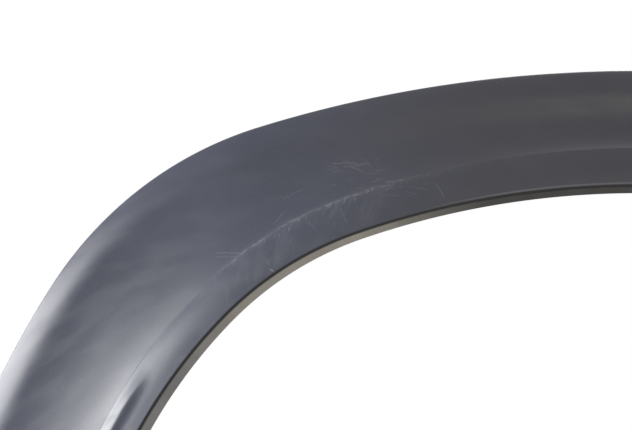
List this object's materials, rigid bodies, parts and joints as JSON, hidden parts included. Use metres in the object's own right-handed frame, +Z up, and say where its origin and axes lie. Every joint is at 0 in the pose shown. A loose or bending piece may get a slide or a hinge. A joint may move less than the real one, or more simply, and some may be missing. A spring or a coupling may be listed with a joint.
{
  "type": "wheel arch trim",
  "caption": "Moulded plastic flare that edges a car's wheel opening, with a raised lip, a crease, a scooped face, a return flange and push-in clips on its back.",
  "frame": {"origin": "axis of the top clip where it meets the body's surface", "axes": "+X along the car, +Y into the body, +Z up"},
  "size_m": [1.0346, 0.0391, 0.4234],
  "materials": {
    "moulded_plastic": "satin, scuffed along the crease",
    "clip_plastic": "natural, slightly waxy"
  },
  "bodies": {
    "root": {"arch_moulding": "moulded_plastic", "retaining_clips": "clip_plastic"}
  },
  "joints": []
}
